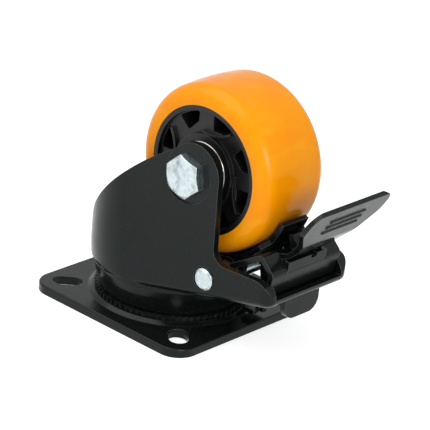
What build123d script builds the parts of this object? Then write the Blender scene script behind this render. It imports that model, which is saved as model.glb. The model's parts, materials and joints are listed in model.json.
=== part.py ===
from build123d import *
from math import acos, atan2, cos, degrees, hypot, pi, radians, sin, tan
import os

# Swivel castor, 75 mm wheel, with a pedal that locks wheel and swivel. Millimetres.
# Origin: middle of the plate's mounting face. +Z from the plate to the wheel, +X the
# way the wheel trails, Y along the axle. The fork stands square to the plate.

# ---- clearances --------------------------------------------------------------
RUN = 0.05        # radial clearance of a running fit
GAP = 0.4         # clearance between faces that pass each other

# ---- mounting plate ----------------------------------------------------------
PLATE_X, PLATE_Y, PLATE_T = 91.0, 87.0, 4.0
PLATE_CORNER = 10.0
PLATE_EDGE = 0.8              # rounded upper rim
SLOT_AT_X, SLOT_AT_Y = 34.0, 31.3
SLOT_WIDE, SLOT_LONG = 8.5, 13.5
BOSS_FOOT_R, BOSS_R, BOSS_Z = 37.1, 35.2, 5.4
DOME_R, DOME_Z = 21.5, 8.2    # middle of the boss, over the pin's head
SINK_R, SINK_Z = 19.0, 4.4    # recess in the mounting face under the dome

# ---- swivel bearing ----------------------------------------------------------
MAIN_BALL_R, MAIN_PITCH_R, MAIN_BALLS = 3.175, 26.5, 24
MAIN_GROOVE_Z = 4.0           # lowest point of the plate's groove
TOP_BALL_R, TOP_PITCH_R, TOP_BALLS = 2.38, 15.0, 16
GROOVE_DEPTH = 1.2
PIN_R, PIN_HEAD_R, PIN_HEAD_T = 7.0, 13.0, 3.4
PIN_TOP_R, PIN_TOP_T = 11.0, 3.4
CUP_R, CUP_T = 20.0, 3.2
RING_R, RING_BORE_R, RING_T = 34.2, 30.0, 1.6
RING_TEETH, TOOTH_DEEP = 72, 0.8

# ---- fork --------------------------------------------------------------------
SHEET = 3.0
DISH_LIP_Z, DISH_LIP_R = 7.6, 33.0
DISH_SHOULDER_Z, DISH_SHOULDER_R = 15.3, 34.9
DISH_WALL = 3.6
LAND_T = 2.9                  # dish thickness over the main balls
FLOOR_Z, FLOOR_BEND_X, FLOOR_RISE = 18.0, 4.0, 10.4   # the floor climbs, in degrees
TAIL_X = 77.0
# plan of the wall at four heights: z, nose centre x, nose radius, half width at the tail
WALL_PLAN = ((12.0, 0.0, 35.4, 25.4), (30.0, -3.2, 35.1, 25.7), (50.0, -6.6, 31.9, 26.3),
             (75.0, -10.0, 28.3, 27.0), (98.0, -11.0, 27.4, 27.4))
WALL_FOOT_R = 3.5             # rounded lower edge of the wall
TAIL_CORNER_R, TAIL_OPEN_HALF = 5.0, 21.0
AXLE_X, AXLE_Z = 27.9, 75.7
LEG_FACE_Y = 27.4             # outer face of the legs at the axle
LEG_TOP_X, LEG_TOP_Z, LEG_TOP_R = 31.0, 77.0, 13.8
LEG_REAR_X = 46.3
ARM_TOP_Z, ARM_END_R = 42.6, 9.0
NOSE_X, NOSE_EDGE_Z = -38.5, 21.5
BROW_X, BROW_Z = -12.7, 59.8  # middle of the bowed front edge
CROOK_R = 7.0                 # inside corner between leg and arm
WINDOW_X0, WINDOW_X1, WINDOW_HALF = 38.0, 65.0, 15.4
SPOTFACE_R = 12.5

# ---- wheel -------------------------------------------------------------------
WHEEL_R, WHEEL_HALF = 37.5, 19.0
TREAD_CROWN, TREAD_EDGE_R = 0.5, 6.8
CORE_R = 28.3                 # where the tread meets the core at the side face
CORE_KEY_R, CORE_KEY_HALF = 30.6, 5.0   # ring that keys the tread on the core
RIM_INNER_R = 26.2
FACE_SINK = 2.0               # spokes lie this deep under the rim
POCKET_DEEP = 14.0
HUB_R, HUB_HALF = 16.2, 19.6
POCKETS, POCKET_TURN = 4, 27.0   # pairs of pockets, and where the first one stands
POCKET_OUT_R, POCKET_HIGH_R, POCKET_LOW_R = 25.4, 18.4, 21.0
POCKET_SPAN, POCKET_CORNER = 13.5, 0.8
LIP_T, LIP_TALL = 1.1, 1.5

# ---- axle --------------------------------------------------------------------
BOLT_R, HEX_AF, HEAD_T, NUT_T = 4.95, 17.0, 4.6, 8.0
THREAD_ROOT_R, BOLT_PROUD = 4.1, 3.0
INSERT_R, INSERT_T, NUT_HEX_T = 6.6, 2.2, 6.2
HEX_TURN = 42.4
WASHER_R, WASHER_T = 10.0, 1.8
BEARING_R, BEARING_BORE_R, BEARING_WIDE = 13.0, 5.0, 8.0
RING_EDGE_R = 0.5
RACE_T, BEARING_BALL_R, BEARING_BALLS = 2.0, 2.3, 7
SHIELD_T = 0.4
BEARING_PROUD = 0.5           # how far the bearings stand out of the hub
COVER_R, COVER_T = 12.3, 1.0
SLEEVE_R = 7.0

# ---- cross rivet, shoe and swivel lock ---------------------------------------
RIVET_X, RIVET_Z, RIVET_R = 43.6, 34.2, 3.3
RIVET_HEAD_R, RIVET_HEAD_T = 4.9, 1.6
RIVET_FACE_Y = 29.0           # outer faces of the arms at the rivet
SHOE_GAP, SHOE_T = 1.3, 2.2
SHOE_FROM, SHOE_TO = -79.0, -21.0      # degrees round the axle, from +X
SHOE_HALF, SHOE_TIP_HALF, SHOE_NECK = 12.0, 8.0, -37.0
CHEEK_T, HUB_LUG_R = 2.4, 6.2
LOCK_HALF = 10.8
LOCK_T = 2.6
LOCK_TRAVEL = 2.1             # how far the toe moves to drop into the ring
TOE_BACK = 41.0
TOE_Y0, TOE_TEETH, TOOTH_PLAY = 7.2, (3, 4), 0.35    # the toe stands off centre, on two teeth
TOE_Z0, TOE_Z1 = 5.9, 8.0
TAB_X, TAB_Z = 74.0, 21.0
TAB_T, TAB_CORNER = 2.8, 6.0

# ---- brake bracket and pedal -------------------------------------------------
SEAT_HALF, SEAT_T = 21.6, 2.4
SEAT_LOW_X, SEAT_LOW_Z = 50.6, 40.6
CREST_X, CREST_Z = 66.8, 50.6
EAR_X, EAR_Z = 73.4, 44.6
EAR_INNER = 12.5
WEB_X, FOOT_X = 71.4, 64.0
WEB_TOP_Z = 48.7
LIP_SLOT_Y, LIP_SLOT_LONG, LIP_SLOT_DEEP = 4.0, 3.5, 1.8
SMALL_RIVET_R, SMALL_HEAD_R, SMALL_HEAD_T = 1.6, 2.6, 1.0
FOOT_MID_X = 67.5             # between the feet the flange is cut back to here
HINGE_X, HINGE_Z = 66.6, 45.6
BARREL_R, HINGE_R = 4.2, 2.3
PEDAL_T = 2.2
PEDAL_HALF, NECK_HALF = 24.5, 11.6
ELBOW_X, ELBOW_Z = 83.6, 61.0
TIP_X, TIP_Z = 95.5, 80.0
FOOT_CORNER = 6.5
FLARE_Z = 69.5                # where the foot plate reaches its full width
NOSE_TIP_X, NOSE_TIP_Z, NOSE_HALF = 66.2, 56.4, 4.0
ARM_TIP_X, ARM_TIP_Z = 58.8, 28.1
RIB_COUNT, RIB_HALF, RIB_TALL, RIB_PITCH = 3, 10.5, 0.7, 3.7
RIB_R, RIB_FIRST = 1.2, 8.0


# ---- small helpers -----------------------------------------------------------
def side_slab(outline, y0, y1):
    """A closed outline in X and Z, made solid from y0 to y1."""
    face = Plane.XZ.offset(-y1) * make_face(outline)
    return extrude(face, amount=y1 - y0)


def joined(*lines):
    """One closed wire from lines that meet end to end."""
    edges = []
    for line in lines:
        edges += line.edges()
    return Wire(edges)


def y_cylinder(x, z, radius, y0, y1):
    """A round bar along Y."""
    return Pos(x, (y0 + y1) / 2, z) * Rot(90, 0, 0) * Cylinder(radius, y1 - y0)


def hull_round(x, z, radius, points):
    """Side outline: the hull of a circle and some points."""
    edges = (Pos(x, z) * Circle(radius)).edges()
    for a, b in zip(points, points[1:]):
        edges += Line(a, b).edges()
    return make_hull(edges)


def turned(points, axis=Axis.Z):
    """A closed (radius, height) outline turned about Z."""
    outline = Polyline(*points, close=True)
    return revolve(Plane.XZ * make_face(outline), axis)


def torus_at(pitch_r, section_r, z):
    return Pos(0, 0, z) * Torus(pitch_r, section_r)


def ring_of_balls(count, pitch_r, ball_r, z):
    balls = []
    for i in range(count):
        turn = radians(360.0 * i / count)
        balls.append(Pos(pitch_r * cos(turn), pitch_r * sin(turn), z) * Sphere(ball_r))
    return balls


def axle_frame(side=1):
    """Turns a piece built about Z so that it lies along the axle, +Z outward."""
    return Pos(AXLE_X, 0, AXLE_Z) * Rot(-90 * side, 0, 0)


# ---- heights that follow from the sizes ---------------------------------------
MAIN_Z = MAIN_GROOVE_Z + MAIN_BALL_R                # centres of the main balls
LAND_TOP = MAIN_Z + MAIN_BALL_R + LAND_T            # flat inside the dish
TOP_Z = LAND_TOP - GROOVE_DEPTH + TOP_BALL_R        # centres of the upper balls
CUP_Z = TOP_Z + TOP_BALL_R - GROOVE_DEPTH           # underside of the upper race
PIN_TOP_Z = CUP_Z + CUP_T


def floor_height(x, lift=0.0):
    """Underside of the fork's floor at x, or a face lift above it."""
    rise = max(0.0, x - FLOOR_BEND_X) * tan(radians(FLOOR_RISE))
    return FLOOR_Z + rise + lift / cos(radians(FLOOR_RISE))


# ---- plate and swivel bearing --------------------------------------------------
def mounting_plate():
    body = Pos(0, 0, PLATE_T / 2) * Box(PLATE_X, PLATE_Y, PLATE_T)
    body = fillet(body.edges().filter_by(Axis.Z), PLATE_CORNER)
    body = fillet(body.edges().group_by(Axis.Z)[-1], PLATE_EDGE)
    boss = turned([(0, PLATE_T - 1), (BOSS_FOOT_R, PLATE_T - 1), (BOSS_FOOT_R, PLATE_T),
                   (BOSS_R, BOSS_Z), (DOME_R + 1.2, BOSS_Z), (DOME_R, DOME_Z), (0, DOME_Z)])
    body += boss
    body -= turned([(0, -1), (SINK_R + 1.0, -1), (SINK_R, SINK_Z), (0, SINK_Z)])
    body -= torus_at(MAIN_PITCH_R, MAIN_BALL_R + RUN / 2, MAIN_Z)
    body -= Cylinder(PIN_R, 4 * DOME_Z)
    for sx in (-1, 1):
        for sy in (-1, 1):
            turn = degrees(atan2(sy * SLOT_AT_Y, sx * SLOT_AT_X))
            slot = extrude(SlotOverall(SLOT_LONG, SLOT_WIDE), amount=4 * PLATE_T, both=True)
            body -= Pos(sx * SLOT_AT_X, sy * SLOT_AT_Y, 0) * Rot(0, 0, turn) * slot
    return body


def king_pin():
    low = SINK_Z - PIN_HEAD_T
    high = PIN_TOP_Z + PIN_TOP_T
    return turned([(0, low), (PIN_HEAD_R - 1.2, low), (PIN_HEAD_R, low + 1.2), (PIN_HEAD_R, SINK_Z),
                   (PIN_R, SINK_Z), (PIN_R, PIN_TOP_Z), (PIN_TOP_R, PIN_TOP_Z),
                   (PIN_TOP_R - 0.8, high - 1.0), (PIN_TOP_R - 4.0, high), (0, high)])


def upper_race():
    body = turned([(PIN_R, CUP_Z), (CUP_R - 0.8, CUP_Z), (CUP_R, CUP_Z + 0.8),
                   (CUP_R, CUP_Z + CUP_T - 0.8), (CUP_R - 0.8, CUP_Z + CUP_T), (PIN_R, CUP_Z + CUP_T)])
    return body - torus_at(TOP_PITCH_R, TOP_BALL_R + RUN / 2, TOP_Z)


def lock_ring():
    body = Pos(0, 0, BOSS_Z + RING_T / 2) * (Cylinder(RING_R, RING_T) - Cylinder(RING_BORE_R, 2 * RING_T))
    pitch = 2 * pi * RING_R / RING_TEETH
    notch = Pos(RING_R, 0, BOSS_Z + RING_T / 2) * Box(2 * TOOTH_DEEP, pitch / 2, 2 * RING_T)
    cutters = []
    for i in range(RING_TEETH):
        cutters.append(Rot(0, 0, 360.0 * i / RING_TEETH) * notch)
    return body - cutters


# ---- fork ----------------------------------------------------------------------
def wall_plan(z, nose_x, nose_r, tail_half, tail_x, corner_r):
    """Outline of the wall in plan: round nose, straight sides, square tail with round corners."""
    reach = hypot(tail_x - nose_x, tail_half)
    lean = acos(nose_r / reach) + atan2(tail_half, tail_x - nose_x)
    touch_x = nose_x + nose_r * cos(lean)
    touch_y = nose_r * sin(lean)
    sides = [Line((tail_x, -tail_half), (touch_x, -touch_y)),
             ThreePointArc((touch_x, -touch_y), (nose_x - nose_r, 0), (touch_x, touch_y)),
             Line((touch_x, touch_y), (tail_x, tail_half)),
             Line((tail_x, tail_half), (tail_x, -tail_half))]
    face = make_face(joined(*sides))
    return Pos(0, 0, z) * fillet(face.vertices().group_by(Axis.X)[-1], corner_r)


def wall_loft(inset):
    faces = []
    for z, nose_x, nose_r, tail_half in WALL_PLAN:
        faces.append(wall_plan(z, nose_x, nose_r - inset, tail_half - inset, TAIL_X - inset,
                               TAIL_CORNER_R - inset))
    return loft(faces)


def fork_side():
    """Side view of the fork: floor line, tail, arm, leg and bowed front edge."""
    tail_low = floor_height(TAIL_X)
    arm_x = TAIL_X - ARM_END_R
    start = (NOSE_X, FLOOR_Z)
    front = (LEG_TOP_X - LEG_TOP_R * 0.80, LEG_TOP_Z + LEG_TOP_R * 0.60)
    top = (LEG_TOP_X + LEG_TOP_R * 0.22, LEG_TOP_Z + LEG_TOP_R * 0.97)
    rear = (LEG_TOP_X + LEG_TOP_R, LEG_TOP_Z - 2.0)
    crook = (LEG_REAR_X, ARM_TOP_Z + CROOK_R)
    arc_mid = (LEG_REAR_X + CROOK_R * (1 - sin(pi / 4)), ARM_TOP_Z + CROOK_R * (1 - sin(pi / 4)))
    arm_start = (LEG_REAR_X + CROOK_R, ARM_TOP_Z)
    end_mid = (TAIL_X - ARM_END_R * 0.26, ARM_TOP_Z - ARM_END_R * 0.30)
    tail_top = (TAIL_X, floor_height(TAIL_X, SHEET))
    edges = [Line(start, (FLOOR_BEND_X, FLOOR_Z)), Line((FLOOR_BEND_X, FLOOR_Z), (TAIL_X, tail_low)),
             Line((TAIL_X, tail_low), tail_top), ThreePointArc(tail_top, end_mid, (arm_x, ARM_TOP_Z)),
             Line((arm_x, ARM_TOP_Z), arm_start), ThreePointArc(arm_start, arc_mid, crook),
             Line(crook, rear), ThreePointArc(rear, top, front),
             ThreePointArc(front, (BROW_X, BROW_Z), (NOSE_X, NOSE_EDGE_Z)),
             Line((NOSE_X, NOSE_EDGE_Z), start)]
    return joined(*edges)


def above_floor(lift, top, margin):
    """Everything over the floor's line, lift above its underside."""
    back = TAIL_X + margin
    return Polyline((-margin, FLOOR_Z + lift), (FLOOR_BEND_X, FLOOR_Z + lift),
                    (back, floor_height(back, lift)), (back, top), (-margin, top), close=True)


def fork():
    wide = 2 * WALL_PLAN[0][2]
    body = wall_loft(0.0) & side_slab(fork_side(), -wide, wide)
    foot = [e for e in body.edges() if e.center().Z < floor_height(e.center().X) + 0.05]
    body = fillet(foot, WALL_FOOT_R)
    inner = wall_loft(SHEET)
    body -= inner & side_slab(above_floor(SHEET, 2 * AXLE_Z, wide), -wide, wide)
    tail_top = floor_height(TAIL_X, SHEET)
    body -= Pos(TAIL_X, 0, tail_top + ARM_TOP_Z / 2) * Box(4 * SHEET, 2 * TAIL_OPEN_HALF, ARM_TOP_Z)
    # the dish that carries the balls is drawn down out of the floor
    inside_r = DISH_SHOULDER_R - DISH_WALL
    body -= Pos(0, 0, FLOOR_Z) * Cylinder(inside_r, 3 * SHEET + FLOOR_Z)
    tall = floor_height(DISH_SHOULDER_R, SHEET) + 2.0
    dish = turned([(PIN_R + GAP, LAND_TOP - SHEET), (DOME_R, LAND_TOP - SHEET),
                   (DOME_R + 1.2, MAIN_Z + 1.9), (DISH_LIP_R - 2.6, MAIN_Z + 1.9),
                   (DISH_LIP_R - 2.2, DISH_LIP_Z), (DISH_LIP_R - 0.7, DISH_LIP_Z),
                   (DISH_LIP_R, DISH_LIP_Z + 0.7), (DISH_SHOULDER_R, DISH_SHOULDER_Z),
                   (DISH_SHOULDER_R + 0.6, FLOOR_Z + 0.5), (DISH_SHOULDER_R + 0.6, tall),
                   (inside_r, tall), (inside_r - 0.4, FLOOR_Z),
                   (inside_r - 2.6, LAND_TOP), (PIN_R + GAP, LAND_TOP)])
    dish -= side_slab(above_floor(SHEET, 2 * AXLE_Z, wide), -wide, wide)
    body += dish
    body -= torus_at(MAIN_PITCH_R, MAIN_BALL_R + RUN, MAIN_Z)
    body -= torus_at(TOP_PITCH_R, TOP_BALL_R + RUN, TOP_Z)
    # window for the swivel lock lever, holes for the axle and the cross rivet
    mid_x = (WINDOW_X0 + WINDOW_X1) / 2
    body -= Pos(mid_x, 0, floor_height(mid_x)) * Box(WINDOW_X1 - WINDOW_X0, 2 * WINDOW_HALF, 5 * SHEET)
    body -= y_cylinder(AXLE_X, AXLE_Z, BOLT_R, -wide, wide)
    body -= y_cylinder(RIVET_X, RIVET_Z, RIVET_R, -wide, wide)
    body -= bracket_rivet_shanks()
    for side in (-1, 1):
        outer = sorted((side * RIVET_FACE_Y, side * (RIVET_FACE_Y + SHEET)))
        body -= y_cylinder(RIVET_X, RIVET_Z, RIVET_HEAD_R + 0.4, *outer)
    for side in (-1, 1):
        outer = sorted((side * LEG_FACE_Y, side * (LEG_FACE_Y + SHEET)))
        body -= y_cylinder(AXLE_X, AXLE_Z, SPOTFACE_R, *outer)
        inner_face = sorted((side * (LEG_FACE_Y - SHEET), side * (LEG_FACE_Y - 2 * SHEET)))
        body -= y_cylinder(AXLE_X, AXLE_Z, SPOTFACE_R, *inner_face)
    return body


# ---- wheel ---------------------------------------------------------------------
def tread():
    side_r = WHEEL_R - TREAD_CROWN - TREAD_EDGE_R
    flat = WHEEL_HALF - TREAD_EDGE_R
    turn = TREAD_EDGE_R * (1 - sin(pi / 4))
    edge_r = WHEEL_R - TREAD_CROWN
    edges = [Polyline((CORE_R, flat), (CORE_R, CORE_KEY_HALF), (CORE_KEY_R, CORE_KEY_HALF),
                      (CORE_KEY_R, -CORE_KEY_HALF), (CORE_R, -CORE_KEY_HALF), (CORE_R, -flat),
                      (CORE_R, -WHEEL_HALF), (side_r, -WHEEL_HALF)),
             ThreePointArc((side_r, -WHEEL_HALF), (edge_r - turn, -WHEEL_HALF + turn), (edge_r, -flat)),
             ThreePointArc((edge_r, -flat), (WHEEL_R, 0), (edge_r, flat)),
             ThreePointArc((edge_r, flat), (edge_r - turn, WHEEL_HALF - turn), (side_r, WHEEL_HALF)),
             Polyline((side_r, WHEEL_HALF), (CORE_R, WHEEL_HALF), (CORE_R, flat))]
    return axle_frame() * revolve(Plane.XZ * make_face(joined(*edges)), Axis.Z)


def polar(radius, turn):
    return (radius * cos(radians(turn)), radius * sin(radians(turn)))


def pocket(turn):
    """One moulded pocket of the core: wide at the rim, narrow and skewed at the hub."""
    outline = [Line(polar(POCKET_OUT_R, turn + POCKET_SPAN), polar(POCKET_HIGH_R, turn + POCKET_SPAN - 3)),
               Line(polar(POCKET_HIGH_R, turn + POCKET_SPAN - 3),
                    polar(POCKET_LOW_R, turn - POCKET_SPAN + 3)),
               Line(polar(POCKET_LOW_R, turn - POCKET_SPAN + 3), polar(POCKET_OUT_R, turn - POCKET_SPAN)),
               ThreePointArc(polar(POCKET_OUT_R, turn - POCKET_SPAN), polar(POCKET_OUT_R, turn),
                             polar(POCKET_OUT_R, turn + POCKET_SPAN))]
    face = make_face(joined(*outline))
    return fillet(face.vertices(), POCKET_CORNER)


def pocket_lip(turn):
    """Raised crescent round the hub side of a pocket."""
    path = ThreePointArc(polar(POCKET_HIGH_R - 1.2, turn + 2 * POCKET_SPAN), polar(POCKET_HIGH_R - 0.4, turn),
                         polar(POCKET_OUT_R - 1.4, turn - POCKET_SPAN - 1))
    return trace(path, line_width=LIP_T)


def wheel_core():
    face_y = WHEEL_HALF - FACE_SINK
    body = Cylinder(CORE_R, 2 * WHEEL_HALF - 0.4) + Cylinder(CORE_KEY_R, 2 * CORE_KEY_HALF)
    body += Cylinder(HUB_R, 2 * (HUB_HALF - BEARING_PROUD))
    body -= Cylinder(SLEEVE_R + 1.0, 3 * HUB_HALF)
    for flip in (0, 180):
        place = Rot(flip, 0, 0)
        recess = Cylinder(RIM_INNER_R, WHEEL_HALF) - Cylinder(HUB_R, 2 * WHEEL_HALF)
        body -= place * Pos(0, 0, face_y + WHEEL_HALF / 2) * recess
        seat_low = HUB_HALF - BEARING_WIDE
        body -= place * Pos(0, 0, seat_low + BEARING_WIDE) * Cylinder(BEARING_R, 2 * BEARING_WIDE)
        sense = 1 if flip == 0 else -1
        for i in range(2 * POCKETS):
            turn = sense * POCKET_TURN + 360.0 * i / (2 * POCKETS)
            cutter = extrude(Pos(0, 0, face_y - POCKET_DEEP) * pocket(turn), amount=2 * POCKET_DEEP)
            body -= place * cutter
            if i % 2 == 1:
                lip = extrude(Pos(0, 0, face_y - 0.5) * pocket_lip(turn), amount=LIP_TALL + 0.5)
                body += place * lip
    return axle_frame(-1) * body


def on_both_ends(piece, y_mid):
    """The same piece at both ends of the axle, built about Z round its own middle."""
    return [axle_frame(side) * Pos(0, 0, y_mid) * piece for side in (-1, 1)]


BEARING_Y = HUB_HALF - BEARING_WIDE / 2
BALL_PITCH_R = (BEARING_R - RACE_T + BEARING_BORE_R + RACE_T) / 2


def bearing_outer_rings():
    ring = Cylinder(BEARING_R, BEARING_WIDE)
    ring = fillet(ring.edges().filter_by(GeomType.CIRCLE), RING_EDGE_R)
    ring -= Cylinder(BEARING_R - RACE_T, 2 * BEARING_WIDE)
    ring -= Torus(BALL_PITCH_R, BEARING_BALL_R + RUN / 2)
    return on_both_ends(ring, BEARING_Y)


def bearing_inner_rings():
    ring = Cylinder(BEARING_BORE_R + RACE_T, BEARING_WIDE) - Cylinder(BEARING_BORE_R, 2 * BEARING_WIDE)
    ring -= Torus(BALL_PITCH_R, BEARING_BALL_R + RUN)
    return on_both_ends(ring, BEARING_Y)


def bearing_balls():
    balls = []
    for ball in ring_of_balls(BEARING_BALLS, BALL_PITCH_R, BEARING_BALL_R, 0):
        balls += on_both_ends(ball, BEARING_Y)
    return balls


def bearing_shields():
    bore_r = BEARING_BORE_R + RACE_T + GAP
    shield = Cylinder(BEARING_R - RACE_T, SHIELD_T) - Cylinder(bore_r, 2 * SHIELD_T)
    lift = BEARING_WIDE / 2 - SHIELD_T
    return on_both_ends(shield, BEARING_Y + lift) + on_both_ends(shield, BEARING_Y - lift)


# ---- axle ----------------------------------------------------------------------
def hexagon_bar(height):
    """Hexagon with its outer corners chamfered, standing on Z = 0."""
    bar = extrude(RegularPolygon(HEX_AF / 2, 6, major_radius=False, rotation=HEX_TURN), amount=height)
    corner_r = HEX_AF / 2 / cos(pi / 6)
    drop = (corner_r - 0.95 * HEX_AF / 2) * tan(radians(30))
    dome = turned([(0, -1), (corner_r + 1, -1), (corner_r + 1, height - drop - tan(radians(30))),
                   (0.95 * HEX_AF / 2, height), (0, height)])
    return bar & dome


def axle_bolt():
    nut_end = LEG_FACE_Y + WASHER_T + NUT_T
    head = axle_frame(-1) * Pos(0, 0, LEG_FACE_Y) * hexagon_bar(HEAD_T)
    shank = y_cylinder(AXLE_X, AXLE_Z, BOLT_R, -LEG_FACE_Y - HEAD_T / 2, nut_end - 0.5)
    tip = y_cylinder(AXLE_X, AXLE_Z, THREAD_ROOT_R, nut_end - 1.0, nut_end + BOLT_PROUD)
    return head + shank + tip


def axle_washer():
    ring = Cylinder(WASHER_R, WASHER_T) - Cylinder(BOLT_R, 2 * WASHER_T)
    return axle_frame() * Pos(0, 0, LEG_FACE_Y + WASHER_T / 2) * ring


def axle_nut():
    """Self-locking nut: a hexagon with a round collar that holds the insert."""
    collar_r = HEX_AF / 2 - 1.0
    body = hexagon_bar(NUT_HEX_T)
    body += turned([(0, 0), (collar_r, 0), (collar_r, NUT_T - 1.2), (collar_r - 1.0, NUT_T), (0, NUT_T)])
    body -= Cylinder(BOLT_R, 4 * NUT_T)
    body -= Pos(0, 0, NUT_T - INSERT_T / 2 - 0.2) * Cylinder(INSERT_R, INSERT_T)
    body -= Pos(0, 0, NUT_T) * Cylinder(INSERT_R - 0.5, 1.0)
    return axle_frame() * Pos(0, 0, LEG_FACE_Y + WASHER_T) * body


def nut_insert():
    ring = Cylinder(INSERT_R, INSERT_T) - Cylinder(BOLT_R, 2 * INSERT_T)
    return axle_frame() * Pos(0, 0, LEG_FACE_Y + WASHER_T + NUT_T - INSERT_T / 2 - 0.2) * ring


def axle_sleeve():
    long = 2 * (HUB_HALF - BEARING_WIDE)
    return axle_frame() * (Cylinder(SLEEVE_R, long) - Cylinder(BOLT_R, 2 * long))


def dust_covers():
    """Pressed covers over the bearings; their hubs space the wheel from the legs."""
    inside = LEG_FACE_Y - SHEET
    low = HUB_HALF + GAP
    cover = turned([(BOLT_R, HUB_HALF), (SLEEVE_R, HUB_HALF), (SLEEVE_R, low), (COVER_R, low),
                    (COVER_R, low + 2.0), (COVER_R - COVER_T, low + 2.0), (COVER_R - COVER_T, low + COVER_T),
                    (SLEEVE_R + 1.6, low + COVER_T), (SLEEVE_R + 1.0, inside), (BOLT_R, inside)])
    return on_both_ends(cover, 0)


# ---- cross rivet, shoe lever and swivel lock lever ---------------------------------
def cross_rivet():
    body = y_cylinder(RIVET_X, RIVET_Z, RIVET_R, -RIVET_FACE_Y, RIVET_FACE_Y)
    for side in (-1, 1):
        head = turned([(0, 0), (RIVET_HEAD_R, 0), (RIVET_HEAD_R, 0.5 * RIVET_HEAD_T),
                       (RIVET_HEAD_R - 1.0, RIVET_HEAD_T), (0, RIVET_HEAD_T)])
        body += Pos(RIVET_X, side * RIVET_FACE_Y, RIVET_Z) * Rot(-90 * side, 0, 0) * head
    return body


def rivet_spacers():
    """Tubes on the cross rivet that hold the levers in the middle."""
    outer = RIVET_FACE_Y - SHEET - 3 * GAP
    tubes = []
    for side in (-1, 1):
        ends = sorted((side * (LOCK_OUT + GAP), side * outer))
        tube = y_cylinder(RIVET_X, RIVET_Z, RIVET_HEAD_R, *ends)
        tubes.append(tube - y_cylinder(RIVET_X, RIVET_Z, RIVET_R, *ends))
    return tubes


def on_wheel(radius, turn):
    """A point in side view at a radius and angle round the axle."""
    return (AXLE_X + radius * cos(radians(turn)), AXLE_Z + radius * sin(radians(turn)))


SHOE_R = WHEEL_R + SHOE_GAP
SHOE_BACK_R = SHOE_R + SHOE_T


def brake_shoe():
    mid = (SHOE_FROM + SHOE_TO) / 2
    band = joined(
        ThreePointArc(on_wheel(SHOE_R, SHOE_FROM), on_wheel(SHOE_R, mid), on_wheel(SHOE_R, SHOE_TO)),
        Line(on_wheel(SHOE_R, SHOE_TO), on_wheel(SHOE_BACK_R, SHOE_TO)),
        ThreePointArc(on_wheel(SHOE_BACK_R, SHOE_TO), on_wheel(SHOE_BACK_R, mid),
                      on_wheel(SHOE_BACK_R, SHOE_FROM)),
        Line(on_wheel(SHOE_BACK_R, SHOE_FROM), on_wheel(SHOE_R, SHOE_FROM)))
    body = side_slab(band, -SHOE_HALF, SHOE_HALF)
    # the free end narrows to a tongue: trim its corners square to the wheel
    tongue = SHOE_TO - SHOE_NECK
    step = SHOE_HALF - SHOE_TIP_HALF
    long = SHOE_R * radians(tongue)
    for side in (-1, 1):
        outline = Polyline((-step, side * (SHOE_HALF + 1)), (0, side * SHOE_TIP_HALF),
                           (2 * long, side * SHOE_TIP_HALF), (2 * long, side * (SHOE_HALF + 1)), close=True)
        x, z = on_wheel(SHOE_R, SHOE_NECK)
        frame = Plane(origin=(x, 0, z), x_dir=(-sin(radians(SHOE_NECK)), 0, cos(radians(SHOE_NECK))),
                      z_dir=(cos(radians(SHOE_NECK)), 0, sin(radians(SHOE_NECK))))
        body -= extrude(frame * make_face(outline), amount=2 * SHOE_HALF, both=True)
    # relieved where a thick rivet would meet its back
    return body - y_cylinder(RIVET_X, RIVET_Z, RIVET_R + RUN, -2 * SHOE_HALF, 2 * SHOE_HALF)


def shoe_cheeks():
    """The two cheeks welded under the shoe, which hang it on the cross rivet."""
    lug = hull_round(RIVET_X, RIVET_Z, HUB_LUG_R, [on_wheel(SHOE_BACK_R - 1, SHOE_FROM),
                                                   on_wheel(SHOE_BACK_R - 1, -54)])
    cheeks = []
    for side in (-1, 1):
        low, high = sorted((side * SHOE_HALF, side * (SHOE_HALF - CHEEK_T)))
        cheek = extrude(Plane.XZ.offset(-high) * lug, amount=high - low)
        cheek -= y_cylinder(AXLE_X, AXLE_Z, SHOE_BACK_R, -SHOE_HALF * 2, SHOE_HALF * 2)
        cheeks.append(cheek - y_cylinder(RIVET_X, RIVET_Z, RIVET_R + RUN, -SHOE_HALF * 2, SHOE_HALF * 2))
    return cheeks


LOCK_IN = SHOE_HALF + GAP
LOCK_OUT = LOCK_IN + CHEEK_T


def lock_top(x):
    """Upper face of the lock lever where it lies under the fork's floor."""
    return floor_height(x) - 0.7


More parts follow.
